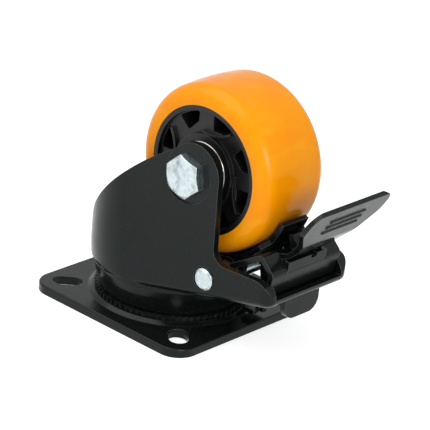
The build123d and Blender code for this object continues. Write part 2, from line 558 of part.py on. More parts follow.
def swivel_lock():
    tail_x0 = WINDOW_X1 - 9.0
    cheek = hull_round(RIVET_X, RIVET_Z, HUB_LUG_R,
                       [(RIVET_X - 2.5, RIVET_Z - 18), (RIVET_X + 2.0, RIVET_Z - 18)])
    foot = make_face(Polyline((RIVET_X - 2.5, RIVET_Z - 17), (RIVET_X + 2.0, RIVET_Z - 17),
                              (TOE_BACK + 2.0, TOE_Z0), (TOE_BACK - 3.0, TOE_Z0), close=True))
    arm = make_face(Polyline((RIVET_X + 2, RIVET_Z + 4), (tail_x0 + 2, lock_top(tail_x0 + 2)),
                             (tail_x0 + 2, lock_top(tail_x0 + 2) - LOCK_T), (RIVET_X, RIVET_Z - 12), close=True))
    hub = hull_round(RIVET_X, RIVET_Z, HUB_LUG_R, [(RIVET_X, RIVET_Z - 12), (RIVET_X + 4, RIVET_Z - 10)])
    body = None
    for side in (-1, 1):
        low, high = sorted((side * LOCK_IN, side * LOCK_OUT))
        for face in (cheek, foot, arm) if side > 0 else (hub, arm):
            piece = extrude(Plane.XZ.offset(-high) * face, amount=high - low)
            body = piece if body is None else body + piece
    blade = Polyline((tail_x0, lock_top(tail_x0)), (TAB_X, lock_top(TAB_X)), (TAB_X, lock_top(TAB_X) - LOCK_T),
                     (tail_x0, lock_top(tail_x0) - LOCK_T), close=True)
    body += side_slab(blade, -LOCK_HALF, LOCK_HALF)
    yoke_x = tail_x0 + 6.0
    yoke = Polyline((tail_x0, lock_top(tail_x0)), (yoke_x, lock_top(yoke_x)), (yoke_x, lock_top(yoke_x) - LOCK_T),
                    (tail_x0, lock_top(tail_x0) - LOCK_T), close=True)
    body += side_slab(yoke, -LOCK_OUT, LOCK_OUT)
    tab_top = lock_top(TAB_X)
    tab_face = Rectangle(2 * LOCK_HALF, tab_top - TAB_Z)
    tab_face = fillet(tab_face.vertices().group_by(Axis.Y)[0], TAB_CORNER)
    place = Plane(origin=(TAB_X - TAB_T, 0, (tab_top + TAB_Z) / 2), x_dir=(0, 1, 0), z_dir=(1, 0, 0))
    body += extrude(place * tab_face, amount=TAB_T)
    # toe bar with the teeth that drop into the ring
    inner_r = RING_R + GAP + LOCK_TRAVEL
    toe = Pos(0, 0, (TOE_Z0 + TOE_Z1) / 2) * (Cylinder(TOE_BACK + 2, TOE_Z1 - TOE_Z0) - Cylinder(inner_r, 9))
    toe &= Pos(TOE_BACK, (TOE_Y0 + LOCK_OUT) / 2, 0) * Box(2 * (TOE_BACK - RING_BORE_R), LOCK_OUT - TOE_Y0,
                                                           4 * TOE_Z1)
    body += toe
    pitch = 2 * pi * RING_R / RING_TEETH
    for i in TOE_TEETH:
        turn = 360.0 / RING_TEETH * i
        deep = GAP + TOOTH_DEEP - 0.2
        tooth = Pos(RING_R + GAP - deep / 2 + 0.5, 0, (TOE_Z0 + TOE_Z1) / 2) * Box(
            deep + 1.0, pitch / 2 - 2 * TOOTH_PLAY, TOE_Z1 - TOE_Z0)
        body += Pos(LOCK_TRAVEL, 0, 0) * Rot(0, 0, turn) * tooth
    return body - y_cylinder(RIVET_X, RIVET_Z, RIVET_R + RUN, -2 * LOCK_OUT, 2 * LOCK_OUT)


# ---- bracket and pedal ---------------------------------------------------------------
def bracket_foot_z(x):
    return floor_height(x, SHEET + SEAT_T / 2)


def brake_bracket():
    """Bent sheet: ramp, crest with two ears, web, and a foot riveted to the fork's floor."""
    line = FilletPolyline((SEAT_LOW_X, SEAT_LOW_Z), (CREST_X, CREST_Z), (EAR_X, EAR_Z),
                          (WEB_X, bracket_foot_z(WEB_X)), (FOOT_X, bracket_foot_z(FOOT_X)), radius=2.0)
    body = extrude(Plane.XZ.offset(-SEAT_HALF) * trace(line, line_width=SEAT_T), amount=2 * SEAT_HALF)
    opening = Polyline((SEAT_LOW_X - 5, SEAT_LOW_Z - 5), (SEAT_LOW_X - 5, CREST_Z + 9),
                       (EAR_X + 9, CREST_Z + 9), (EAR_X + 9, EAR_Z - 1.0), (HINGE_X, EAR_Z - 1.0),
                       (HINGE_X, SEAT_LOW_Z - 5), close=True)
    body -= side_slab(opening, -EAR_INNER, EAR_INNER)
    # between the ears the web stands straight up, in front of the hinge
    lip = trace(Polyline((EAR_X - 0.7, EAR_Z - 3.0), (EAR_X, WEB_TOP_Z)), line_width=SEAT_T)
    lip_half = EAR_INNER - GAP
    lip = extrude(Plane.XZ.offset(-lip_half) * lip, amount=2 * lip_half)
    body += lip - Pos(EAR_X, LIP_SLOT_Y, WEB_TOP_Z) * Box(4 * SEAT_T, LIP_SLOT_LONG, 2 * LIP_SLOT_DEEP)
    middle = floor_height(FOOT_MID_X)
    body -= Pos(FOOT_MID_X - SEAT_T, 0, middle + SHEET) * Box(2 * SEAT_T, 2 * EAR_INNER, 3 * SEAT_T)
    lug = hull_round(HINGE_X, HINGE_Z, HINGE_R + 2.0,
                     [(CREST_X - 8.0, CREST_Z - 5.0), (CREST_X, CREST_Z), (EAR_X, EAR_Z)])
    for side in (-1, 1):
        low, high = sorted((side * EAR_INNER, side * (EAR_INNER + SEAT_T)))
        body += extrude(Plane.XZ.offset(-high) * lug, amount=high - low)
    body -= y_cylinder(HINGE_X, HINGE_Z, HINGE_R, -PIN_REACH, PIN_REACH)
    return body - bracket_rivet_shanks()


def on_rivets(piece):
    """A piece built about Z on the floor's underside, set at each bracket rivet."""
    x = (WEB_X + FOOT_X) / 2 - 0.8
    places = []
    for side in (-1, 1):
        places.append(Pos(x, side * (SEAT_HALF - 5.0), floor_height(x)) * Rot(0, -FLOOR_RISE, 0) * piece)
    return places


def bracket_rivet_shanks():
    grip = SHEET + SEAT_T
    return on_rivets(Pos(0, 0, grip / 2) * Cylinder(SMALL_RIVET_R, grip))


def bracket_rivets():
    grip = SHEET + SEAT_T
    rivet = turned([(0, -SMALL_HEAD_T), (SMALL_HEAD_R - 0.6, -SMALL_HEAD_T), (SMALL_HEAD_R, 0), (SMALL_RIVET_R, 0),
                    (SMALL_RIVET_R, grip), (SMALL_HEAD_R, grip), (SMALL_HEAD_R - 0.6, grip + SMALL_HEAD_T),
                    (0, grip + SMALL_HEAD_T)])
    return on_rivets(rivet)


PIN_REACH = EAR_INNER + SEAT_T


def pedal_pin():
    return y_cylinder(HINGE_X, HINGE_Z, HINGE_R, -PIN_REACH, PIN_REACH)


def pedal():
    """Stamped pedal: rolled barrel, neck, elbow and a wide ribbed foot plate."""
    start = (HINGE_X - 1.0, HINGE_Z + BARREL_R - PEDAL_T / 2)
    line = FilletPolyline(start, (HINGE_X + 6.5, HINGE_Z + BARREL_R + 1.0), (ELBOW_X, ELBOW_Z),
                          (TIP_X, TIP_Z), radius=9.0)
    sheet = extrude(Plane.XZ.offset(-PEDAL_HALF) * trace(line, line_width=PEDAL_T), amount=2 * PEDAL_HALF)
    low = HINGE_Z - BARREL_R
    high = TIP_Z + PEDAL_T * 0.3
    neck_top = HINGE_Z + 2 * BARREL_R
    outline = FilletPolyline((-NECK_HALF, low), (-NECK_HALF, neck_top), (-PEDAL_HALF, FLARE_Z),
                             (-PEDAL_HALF, high), (PEDAL_HALF, high), (PEDAL_HALF, FLARE_Z),
                             (NECK_HALF, neck_top), (NECK_HALF, low),
                             radius=[6.0, 6.0, FOOT_CORNER, FOOT_CORNER, 6.0, 6.0])
    closed = outline + Line((NECK_HALF, low), (-NECK_HALF, low))
    body = sheet & extrude(Plane.YZ * make_face(closed), amount=3 * TIP_X)
    body += y_cylinder(HINGE_X, HINGE_Z, BARREL_R, -NECK_HALF, NECK_HALF)
    # nose that pushes the shoe, and arm that presses the lock lever
    nose = Polyline((HINGE_X + 2, HINGE_Z + BARREL_R - 1), (HINGE_X + 7, HINGE_Z + BARREL_R + 1),
                    (NOSE_TIP_X + 2.2, NOSE_TIP_Z + 0.6), (NOSE_TIP_X, NOSE_TIP_Z),
                    (NOSE_TIP_X + 0.6, NOSE_TIP_Z - 2.6), close=True)
    body += side_slab(nose, -NOSE_HALF, NOSE_HALF)
    arm = Polyline((HINGE_X - BARREL_R + 0.4, HINGE_Z), (HINGE_X - 0.8, HINGE_Z - BARREL_R + 0.6),
                   (ARM_TIP_X + 1.4, ARM_TIP_Z + 0.3), (ARM_TIP_X, ARM_TIP_Z), (ARM_TIP_X - 1.2, ARM_TIP_Z + 1.2),
                   close=True)
    body += side_slab(arm, -NOSE_HALF, NOSE_HALF)
    rise = degrees(atan2(TIP_Z - ELBOW_Z, TIP_X - ELBOW_X))
    for i in range(RIB_COUNT):
        along = RIB_FIRST + i * RIB_PITCH
        x = ELBOW_X + along * cos(radians(rise)) + PEDAL_T / 2 * sin(radians(rise))
        z = ELBOW_Z + along * sin(radians(rise)) - PEDAL_T / 2 * cos(radians(rise))
        bar = Rot(90, 0, 0) * Cylinder(RIB_R, 2 * RIB_HALF)
        for side in (-1, 1):
            bar += Pos(0, side * RIB_HALF, 0) * Sphere(RIB_R)
        sunk = RIB_R - RIB_TALL
        body += Pos(x - sunk * sin(radians(rise)), 0, z + sunk * cos(radians(rise))) * bar
    return body - y_cylinder(HINGE_X, HINGE_Z, HINGE_R + RUN, -PEDAL_HALF, PEDAL_HALF)


def main_balls():
    return ring_of_balls(MAIN_BALLS, MAIN_PITCH_R, MAIN_BALL_R, MAIN_Z)


def top_balls():
    return ring_of_balls(TOP_BALLS, TOP_PITCH_R, TOP_BALL_R, TOP_Z)


SUBPARTS = {
    "mounting_plate": mounting_plate,
    "king_pin": king_pin,
    "upper_race": upper_race,
    "lock_ring": lock_ring,
    "main_balls": main_balls,
    "top_balls": top_balls,
    "fork": fork,
    "tread": tread,
    "wheel_core": wheel_core,
    "bearing_outer_rings": bearing_outer_rings,
    "bearing_inner_rings": bearing_inner_rings,
    "bearing_balls": bearing_balls,
    "bearing_shields": bearing_shields,
    "axle_bolt": axle_bolt,
    "axle_washer": axle_washer,
    "axle_nut": axle_nut,
    "nut_insert": nut_insert,
    "axle_sleeve": axle_sleeve,
    "dust_covers": dust_covers,
    "cross_rivet": cross_rivet,
    "rivet_spacers": rivet_spacers,
    "brake_shoe": brake_shoe,
    "shoe_cheeks": shoe_cheeks,
    "swivel_lock": swivel_lock,
    "brake_bracket": brake_bracket,
    "bracket_rivets": bracket_rivets,
    "pedal_pin": pedal_pin,
    "pedal": pedal,
}


def main():
    os.makedirs("parts", exist_ok=True)
    for name, build in SUBPARTS.items():
        shape = build()
        if isinstance(shape, list):
            shape = Compound(children=shape)
        export_step(shape, f"parts/{name}.step")


main()
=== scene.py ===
"""Finishes and small details of a braked swivel castor, laid over its engineering model."""
import json
import math

import bmesh
import bpy
import numpy as np
from mathutils import Matrix, Vector


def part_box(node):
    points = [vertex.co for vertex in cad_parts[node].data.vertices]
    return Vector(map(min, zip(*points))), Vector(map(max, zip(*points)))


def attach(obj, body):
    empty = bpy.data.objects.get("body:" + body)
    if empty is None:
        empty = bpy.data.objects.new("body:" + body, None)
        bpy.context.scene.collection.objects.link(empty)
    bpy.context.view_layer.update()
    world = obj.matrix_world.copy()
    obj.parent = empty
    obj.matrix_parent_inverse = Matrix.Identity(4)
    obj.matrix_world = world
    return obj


bl_info = {
    "name": "Swivel Castor Finish",
    "version": (1, 0, 0),
    "blender": (4, 5, 0),
    "location": "View3D > Sidebar > Castor",
    "description": "Finishes and small details of a braked swivel castor, on its engineering model",
    "category": "Object",
}

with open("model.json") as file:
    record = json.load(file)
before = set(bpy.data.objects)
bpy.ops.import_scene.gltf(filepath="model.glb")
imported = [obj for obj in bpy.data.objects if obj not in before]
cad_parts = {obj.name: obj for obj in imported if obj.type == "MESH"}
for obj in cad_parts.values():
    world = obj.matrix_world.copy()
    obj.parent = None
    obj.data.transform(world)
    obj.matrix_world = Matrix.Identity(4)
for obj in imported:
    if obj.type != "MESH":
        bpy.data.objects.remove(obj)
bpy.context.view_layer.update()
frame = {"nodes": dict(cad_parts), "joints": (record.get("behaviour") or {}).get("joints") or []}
MM = 0.001

# ---- places on the castor, from the frame ---------------------------------------------
AXLE = next(tuple(j["pos_m"]) for j in frame["joints"] if j["name"] == "wheel_spin")
BOLT_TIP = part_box("axle_bolt")[1].y
NUT_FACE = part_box("axle_nut")[1].y

# thread on the tip of the axle bolt: it starts inside the nut and stops short of the tip
THREAD_FROM = NUT_FACE - 0.3 * MM
THREAD_TO = BOLT_TIP - 0.5 * MM
THREAD_ROOT = 4.1 * MM                                # radius
STEPS_A_TURN = 64
RUN_OUT = 1.2                                         # radians in which the ridge rises or sinks
SUNK = 0.2                                            # its height where it has sunk, in depths
RIDGE_ACROSS = np.array([-0.47, -0.10, 0.10, 0.47, 0.0])    # its section: places, in pitches
RIDGE_HEIGHT = np.array([-0.1, 1.0, 1.0, -0.1, -0.5])       # and heights over the root, in depths

# ---- nodes by finish ------------------------------------------------------------------
COATED = ("mounting_plate", "fork", "brake_bracket", "brake_shoe", "shoe_cheeks", "swivel_lock",
          "pedal", "dust_covers")
ZINCED = ("king_pin", "axle_bolt", "axle_washer", "axle_nut", "axle_sleeve", "cross_rivet",
          "rivet_spacers", "bracket_rivets", "pedal_pin")
GROUND = ("upper_race", "main_balls", "top_balls", "bearing_outer_rings", "bearing_inner_rings",
          "bearing_balls", "bearing_shields")

# ---- stage ----------------------------------------------------------------------------
FLOOR_HALF = 3.0                                      # metres, past all that the camera sees
FLOOR_DROP = 0.1 * MM                                 # under the plate, so no faces meet
FLOOR_LIFT = 0.66                                     # how much of its white is its own
PLAIN_LIGHT = 0.45                                    # strength of the light from all round
KEY = {"place": (-0.25, -0.35, 0.75), "aim": (0.0, 0.0, 0.05), "size": 0.9}
FILL = {"place": (0.75, -0.35, 0.35), "aim": (0.02, 0.0, 0.06), "size": 0.4}
SENSOR_MM = 36.0
VIEW_ACROSS_MM, VIEW_UP_MM = 19.714, 36.624           # middle of the view, from the origin
CLIP_END = 20.0
WHITE = (1.0, 1.0, 1.0, 1.0)

# ---- what the nodes share -------------------------------------------------------------
MOST = {"From Min": 0.3, "From Max": 0.7}             # what noise mostly covers of 0 to 1
COLOURS = {"data_type": "RGBA"}
FIRST, SECOND, MIXED = 6, 7, 2                        # a Mix node's colour sockets, and its result


def linear(code):
    """An sRGB colour written as #RRGGBB, as linear RGBA."""
    parts = [int(code[i : i + 2], 16) / 255 for i in (1, 3, 5)]
    light = [v / 12.92 if v <= 0.04045 else ((v + 0.055) / 1.055) ** 2.4 for v in parts]
    return (*light, 1.0)


def plug(tree, node, inputs):
    """Sets a node's sockets to plain values, or links other sockets to them."""
    for name, value in inputs.items():
        if isinstance(value, bpy.types.NodeSocket):
            tree.links.new(value, node.inputs[name])
        else:
            node.inputs[name].default_value = value


def add(tree, kind, settings=None, inputs=None):
    """Adds a node with its own settings, and with its sockets set or linked."""
    made = tree.nodes.new(kind)
    for name, value in (settings or {}).items():
        setattr(made, name, value)
    plug(tree, made, inputs or {})
    return made


# ---- properties -----------------------------------------------------------------------
class CastorFinish(bpy.types.PropertyGroup):
    """Colours of the castor's finishes"""
    coat: bpy.props.FloatVectorProperty(
        name="Dip coat", description="Colour of the black paint on the pressed steel",
        subtype="COLOR", size=4, min=0.0, max=1.0, default=linear("#0F1111"))
    tread: bpy.props.FloatVectorProperty(
        name="Tread", description="Colour of the cast polyurethane tread",
        subtype="COLOR", size=4, min=0.0, max=1.0, default=linear("#F89300"))
    core: bpy.props.FloatVectorProperty(
        name="Wheel core", description="Colour of the moulded wheel core",
        subtype="COLOR", size=4, min=0.0, max=1.0, default=linear("#0C0C0D"))
    zinc: bpy.props.FloatVectorProperty(
        name="Zinc plate", description="Colour of the zinc-plated fasteners",
        subtype="COLOR", size=4, min=0.0, max=1.0, default=linear("#CDD8DA"))
    ground: bpy.props.FloatVectorProperty(
        name="Bearing steel", description="Colour of balls and ground races",
        subtype="COLOR", size=4, min=0.0, max=1.0, default=linear("#A8A297"))


class CastorThread(bpy.types.PropertyGroup):
    """Sizes of the thread on the axle bolt"""
    pitch: bpy.props.FloatProperty(
        name="Thread pitch", description="Distance between crests of the axle thread",
        unit="LENGTH", min=0.0, default=1.5 * MM)
    depth: bpy.props.FloatProperty(
        name="Thread depth", description="Height of the axle thread's crests over its roots",
        unit="LENGTH", min=0.0, default=0.8 * MM)


class CastorStage(bpy.types.PropertyGroup):
    """Where the camera stands, and how strong the lamps are"""
    azimuth: bpy.props.FloatProperty(
        name="Azimuth", description="Direction of the camera round the castor",
        unit="ROTATION", default=math.radians(40.566))
    elevation: bpy.props.FloatProperty(
        name="Elevation", description="Height of the camera over the horizon",
        unit="ROTATION", default=math.radians(23.575))
    roll: bpy.props.FloatProperty(
        name="Roll", description="Turn of the camera about its own axis",
        unit="ROTATION", default=math.radians(5.597))
    distance: bpy.props.FloatProperty(
        name="Distance", description="From the camera to the point that it turns about",
        unit="LENGTH", default=1.078843)
    lens: bpy.props.FloatProperty(
        name="Lens", description="Focal length on a 36 mm sensor",
        subtype="DISTANCE_CAMERA", default=203.027)
    key: bpy.props.FloatProperty(
        name="Key lamp", description="Power of the large lamp over the castor",
        subtype="POWER", default=4.9)
    fill: bpy.props.FloatProperty(
        name="Fill lamp", description="Power of the lamp at the side",
        subtype="POWER", default=3.9)


# ---- parts of materials ---------------------------------------------------------------
def surface(name):
    """A new material's tree, its shader, and its object coordinates."""
    made = bpy.data.materials.new(name)
    made.use_nodes = True
    tree = made.node_tree
    shader = tree.nodes["Principled BSDF"]
    where = add(tree, "ShaderNodeTexCoord").outputs["Object"]
    return made, tree, shader, where


def repeats(size):
    """The scale at which noise has features of about a size in millimetres."""
    return 1000.0 / size


def stretched(tree, where, scale):
    """Object coordinates measured from the wheel's axle and scaled along each axis."""
    centred = add(tree, "ShaderNodeVectorMath", {"operation": "SUBTRACT"}, {0: where, 1: AXLE})
    return add(tree, "ShaderNodeMapping", inputs={
        "Vector": centred.outputs[0], "Scale": scale}).outputs["Vector"]


def rounded(tree, radius):
    """Normals of edges rounded by a radius in millimetres, and how near an edge is, from 0 to 1."""
    soft = add(tree, "ShaderNodeBevel", {"samples": 6}, {"Radius": radius * MM}).outputs["Normal"]
    flat = add(tree, "ShaderNodeNewGeometry").outputs["Normal"]
    alike = add(tree, "ShaderNodeVectorMath", {"operation": "DOT_PRODUCT"}, {0: soft, 1: flat})
    edge = add(tree, "ShaderNodeMapRange", inputs={
        "Value": alike.outputs["Value"], "From Min": 0.80, "From Max": 0.995,
        "To Min": 1.0, "To Max": 0.0})
    return soft, edge.outputs["Result"]


def seen(tree):
    """1 for rays from the camera and for what gloss and glass show, and 0 for the light itself."""
    path = add(tree, "ShaderNodeLightPath").outputs
    shown = add(tree, "ShaderNodeMath", {"operation": "MAXIMUM"}, {
        0: path["Is Camera Ray"], 1: path["Is Glossy Ray"]})
    return add(tree, "ShaderNodeMath", {"operation": "MAXIMUM"}, {
        0: shown.outputs[0], 1: path["Is Transmission Ray"]}).outputs[0]


# ---- materials ------------------------------------------------------------------------
def dip_coat(colour):
    """Black electro-dip paint on pressed steel.

    The paint levels to a gloss, so it shows the sheet's faint waves and a fine peel, and it
    draws back from edges, which are painted a lighter grey: partly the thinner paint there, partly
    a painted highlight. A few specks of dust lie on it."""
    made, tree, shader, where = surface("dip_coat_on_pressed_steel")
    soft, edge = rounded(tree, 0.45)
    specks = add(tree, "ShaderNodeTexNoise", inputs={
        "Vector": where, "Scale": repeats(0.6), "Detail": 1.0})
    dust = add(tree, "ShaderNodeMapRange", inputs={
        "Value": specks.outputs["Fac"], "From Min": 0.68, "From Max": 0.78})
    # edges painted a lighter grey: partly thinner paint, partly a painted highlight along the edges
    edge_thin_paint_and_highlight = add(tree, "ShaderNodeMix", COLOURS, {
        "Factor": edge, FIRST: colour, SECOND: linear("#565B5B")})
    dusted = add(tree, "ShaderNodeMix", COLOURS, {
        "Factor": dust.outputs["Result"], FIRST: edge_thin_paint_and_highlight.outputs[MIXED], SECOND: linear("#2A2D2D")})
    patch = add(tree, "ShaderNodeTexNoise", inputs={
        "Vector": where, "Scale": repeats(7.0), "Detail": 4.0})
    gloss = add(tree, "ShaderNodeMapRange", inputs={
        **MOST, "Value": patch.outputs["Fac"], "To Min": 0.15, "To Max": 0.27})
    wave = add(tree, "ShaderNodeTexNoise", inputs={
        "Vector": where, "Scale": repeats(13.0), "Detail": 1.0})
    waved = add(tree, "ShaderNodeBump", inputs={
        "Height": wave.outputs["Fac"], "Distance": 0.10 * MM, "Normal": soft})
    peel = add(tree, "ShaderNodeTexNoise", inputs={
        "Vector": where, "Scale": repeats(0.9), "Detail": 1.0})
    peeled = add(tree, "ShaderNodeBump", inputs={
        "Height": peel.outputs["Fac"], "Distance": 0.018 * MM, "Normal": waved.outputs["Normal"]})
    plug(tree, shader, {
        "Base Color": dusted.outputs[MIXED], "IOR": 1.5, "Specular IOR Level": 0.19,
        "Specular Tint": linear("#F2FFFA"), "Roughness": gloss.outputs["Result"],
        "Normal": peeled.outputs["Normal"]})
    return made


def phosphate(colour):
    """Black phosphate on a punched steel ring, dulled by a film of bearing grease."""
    made, tree, shader, where = surface("phosphated_steel")
    film = add(tree, "ShaderNodeTexNoise", inputs={
        "Vector": where, "Scale": repeats(1.6), "Detail": 3.0}).outputs["Fac"]
    greasy = add(tree, "ShaderNodeMapRange", inputs={
        "Value": film, "From Min": 0.45, "From Max": 0.75})
    dulled = add(tree, "ShaderNodeMix", COLOURS, {
        "Factor": greasy.outputs["Result"], FIRST: colour, SECOND: linear("#1C1D1D")})
    gloss = add(tree, "ShaderNodeMapRange", inputs={
        **MOST, "Value": film, "To Min": 0.25, "To Max": 0.55})
    smeared = add(tree, "ShaderNodeBump", inputs={"Height": film, "Distance": 0.05 * MM})
    plug(tree, shader, {
        "Base Color": dulled.outputs[MIXED], "Specular IOR Level": 0.2,
        "Roughness": gloss.outputs["Result"], "Normal": smeared.outputs["Normal"]})
    return made


def zinc_plate(colour):
    """Bright zinc on forged steel.

    A bluish white metal of soft gloss, mottled, with forging lines along the sides of heads,
    and with a painted highlight along its edges."""
    made, tree, shader, where = surface("zinc_plate_on_forged_steel")
    soft, edge = rounded(tree, 0.25)
    patch = add(tree, "ShaderNodeTexNoise", inputs={
        "Vector": where, "Scale": repeats(1.8), "Detail": 5.0, "Roughness": 0.65}).outputs["Fac"]
    lines = add(tree, "ShaderNodeTexNoise", inputs={
        "Vector": stretched(tree, where, (0.25, 2.2, 0.25)), "Scale": repeats(1.6),
        "Detail": 3.0, "Roughness": 0.7}).outputs["Fac"]
    dull = add(tree, "ShaderNodeMapRange", inputs={**MOST, "Value": patch})
    mottled = add(tree, "ShaderNodeMix", COLOURS, {
        "Factor": dull.outputs["Result"], FIRST: colour, SECOND: linear("#AEBBBE")})
    scale = add(tree, "ShaderNodeMapRange", inputs={
        "Value": lines, "From Min": 0.50, "From Max": 0.72, "To Max": 0.75})
    scaled = add(tree, "ShaderNodeMix", COLOURS, {
        "Factor": scale.outputs["Result"], FIRST: mottled.outputs[MIXED],
        SECOND: linear("#626B6D")})
    # edges painted near white: a painted highlight
    zinc_edge_highlight = add(tree, "ShaderNodeMix", COLOURS, {
        "Factor": edge, FIRST: scaled.outputs[MIXED], SECOND: linear("#EEF2F2")})
    gloss = add(tree, "ShaderNodeMapRange", inputs={
        **MOST, "Value": patch, "To Min": 0.24, "To Max": 0.40})
    grained = add(tree, "ShaderNodeBump", inputs={
        "Height": patch, "Distance": 0.03 * MM, "Normal": soft})
    lined = add(tree, "ShaderNodeBump", inputs={
        "Height": lines, "Distance": 0.03 * MM, "Normal": grained.outputs["Normal"]})
    plug(tree, shader, {
        "Metallic": 1.0, "Base Color": zinc_edge_highlight.outputs[MIXED], "Roughness": gloss.outputs["Result"],
        "Normal": lined.outputs["Normal"]})
    return made


def ground_steel(colour):
    """Hardened and ground bearing steel: near mirror, with the rings that turning leaves.

    The rings are drawn coarser than real ones, so that they show."""
    made, tree, shader, where = surface("ground_bearing_steel")
    centred = stretched(tree, where, (1.0, 0.0, 1.0))
    radius = add(tree, "ShaderNodeVectorMath", {"operation": "LENGTH"}, {0: centred})
    rings = add(tree, "ShaderNodeTexNoise", {"noise_dimensions": "1D"}, {
        "W": radius.outputs["Value"], "Scale": repeats(0.25), "Detail": 1.0})
    cloud = add(tree, "ShaderNodeTexNoise", inputs={"Vector": where, "Scale": repeats(1.5)})
    gloss = add(tree, "ShaderNodeMapRange", inputs={
        **MOST, "Value": cloud.outputs["Fac"], "To Min": 0.16, "To Max": 0.30})
    turned = add(tree, "ShaderNodeBump", inputs={
        "Height": rings.outputs["Fac"], "Distance": 0.004 * MM})
    plug(tree, shader, {
        "Metallic": 1.0, "Base Color": colour, "Roughness": gloss.outputs["Result"],
        "Normal": turned.outputs["Normal"]})
    return made


def cast_polyurethane(colour):
    """Cast polyurethane: glossy and faintly translucent, cloudy in colour, with a fine bloom."""
    made, tree, shader, where = surface("cast_polyurethane")
    cloud = add(tree, "ShaderNodeTexNoise", inputs={
        "Vector": where, "Scale": repeats(16.0), "Detail": 3.0})
    cloudy = add(tree, "ShaderNodeMapRange", inputs={**MOST, "Value": cloud.outputs["Fac"]})
    deep = add(tree, "ShaderNodeMix", COLOURS, {
        "Factor": cloudy.outputs["Result"], FIRST: colour, SECOND: linear("#FA9D06")})
    streaks = add(tree, "ShaderNodeTexNoise", inputs={
        "Vector": stretched(tree, where, (1.0, 0.35, 1.0)), "Scale": repeats(5.0), "Detail": 5.0})
    bloom = add(tree, "ShaderNodeMapRange", inputs={
        "Value": streaks.outputs["Fac"], "From Min": 0.55, "From Max": 0.8, "To Max": 0.5})
    bloomed = add(tree, "ShaderNodeMix", COLOURS, {
        "Factor": bloom.outputs["Result"], FIRST: deep.outputs[MIXED], SECOND: linear("#FBAE1E")})
    patch = add(tree, "ShaderNodeTexNoise", inputs={
        "Vector": where, "Scale": repeats(5.0), "Detail": 3.0})
    gloss = add(tree, "ShaderNodeMapRange", inputs={
        **MOST, "Value": patch.outputs["Fac"], "To Min": 0.15, "To Max": 0.24})
    wave = add(tree, "ShaderNodeTexNoise", inputs={
        "Vector": where, "Scale": repeats(9.0), "Detail": 1.0})
    waved = add(tree, "ShaderNodeBump", inputs={
        "Height": wave.outputs["Fac"], "Distance": 0.05 * MM})
    skin = add(tree, "ShaderNodeTexNoise", inputs={"Vector": where, "Scale": repeats(0.8)})
    skinned = add(tree, "ShaderNodeBump", inputs={
        "Height": skin.outputs["Fac"], "Distance": 0.006 * MM, "Normal": waved.outputs["Normal"]})
    plug(tree, shader, {
        "Base Color": bloomed.outputs[MIXED], "IOR": 1.5, "Specular IOR Level": 0.13,
        "Subsurface Weight": 0.08, "Subsurface Radius": (1.0, 0.4, 0.1),
        "Subsurface Scale": 2.0 * MM, "Roughness": gloss.outputs["Result"],
        "Normal": skinned.outputs["Normal"]})
    return made


def moulded_core(colour):
    """Moulded polypropylene: black and satin, with the grain of a spark-eroded mould.

    The grain is drawn coarser than real grain, so that it shows. Its edges are painted a lighter
    grey, as a highlight."""
    made, tree, shader, where = surface("moulded_polypropylene")
    soft, edge = rounded(tree, 0.35)
    # edges painted a lighter grey: a painted highlight
    core_edge_highlight = add(tree, "ShaderNodeMix", COLOURS, {
        "Factor": edge, FIRST: colour, SECOND: linear("#2B2C2D")})
    patch = add(tree, "ShaderNodeTexNoise", inputs={"Vector": where, "Scale": repeats(4.0)})
    gloss = add(tree, "ShaderNodeMapRange", inputs={
        **MOST, "Value": patch.outputs["Fac"], "To Min": 0.36, "To Max": 0.48})
    grain = add(tree, "ShaderNodeTexNoise", inputs={"Vector": where, "Scale": repeats(0.5)})
    grained = add(tree, "ShaderNodeBump", inputs={
        "Height": grain.outputs["Fac"], "Distance": 0.02 * MM, "Normal": soft})
    plug(tree, shader, {
        "Base Color": core_edge_highlight.outputs[MIXED], "IOR": 1.49, "Specular IOR Level": 0.35,
        "Roughness": gloss.outputs["Result"], "Normal": grained.outputs["Normal"]})
    return made


def natural_nylon():
    """Turned nylon: milky white, satin, a little light passing into it."""
    made, tree, shader, where = surface("natural_nylon")
    milk = add(tree, "ShaderNodeTexNoise", inputs={
        "Vector": where, "Scale": repeats(3.0)}).outputs["Fac"]
    milky = add(tree, "ShaderNodeMix", COLOURS, {
        "Factor": milk, FIRST: linear("#E6EAEE"), SECOND: linear("#D3DAE0")})
    gloss = add(tree, "ShaderNodeMapRange", inputs={
        **MOST, "Value": milk, "To Min": 0.38, "To Max": 0.5})
    plug(tree, shader, {
        "Base Color": milky.outputs[MIXED], "Subsurface Weight": 0.2,
        "Subsurface Radius": (1.0, 0.9, 0.8), "Subsurface Scale": 0.8 * MM,
        "Roughness": gloss.outputs["Result"]})
    return made


def dress(names, material):
    """Puts a material on all slots of the named nodes."""
    for name in names:
        for slot in frame["nodes"][name].material_slots:
            slot.material = material


# ---- surfaces -------------------------------------------------------------------------
def tube_mesh(name, points):
    """A closed tube from a grid of points: rows lie along it, and columns go round it.

    Point (i, j) is joined to (i + 1, j) and to (i, j + 1), the last column to the first, and
    one face closes each end."""
    rows, cols = points.shape[:2]
    i, j = np.meshgrid(np.arange(rows - 1), np.arange(cols), indexing="ij")
    after = (j + 1) % cols
    sides = np.stack([i * cols + j, (i + 1) * cols + j, (i + 1) * cols + after, i * cols + after],
                     axis=-1)
    ends = [list(range(cols)), list(range(rows * cols - cols, rows * cols))]
    mesh = bpy.data.meshes.new(name)
    mesh.from_pydata(points.reshape(-1, 3).tolist(), [], sides.reshape(-1, 4).tolist() + ends)
    shell = bmesh.new()
    shell.from_mesh(mesh)
    bmesh.ops.recalc_face_normals(shell, faces=shell.faces)
    shell.to_mesh(mesh)
    shell.free()
    return mesh


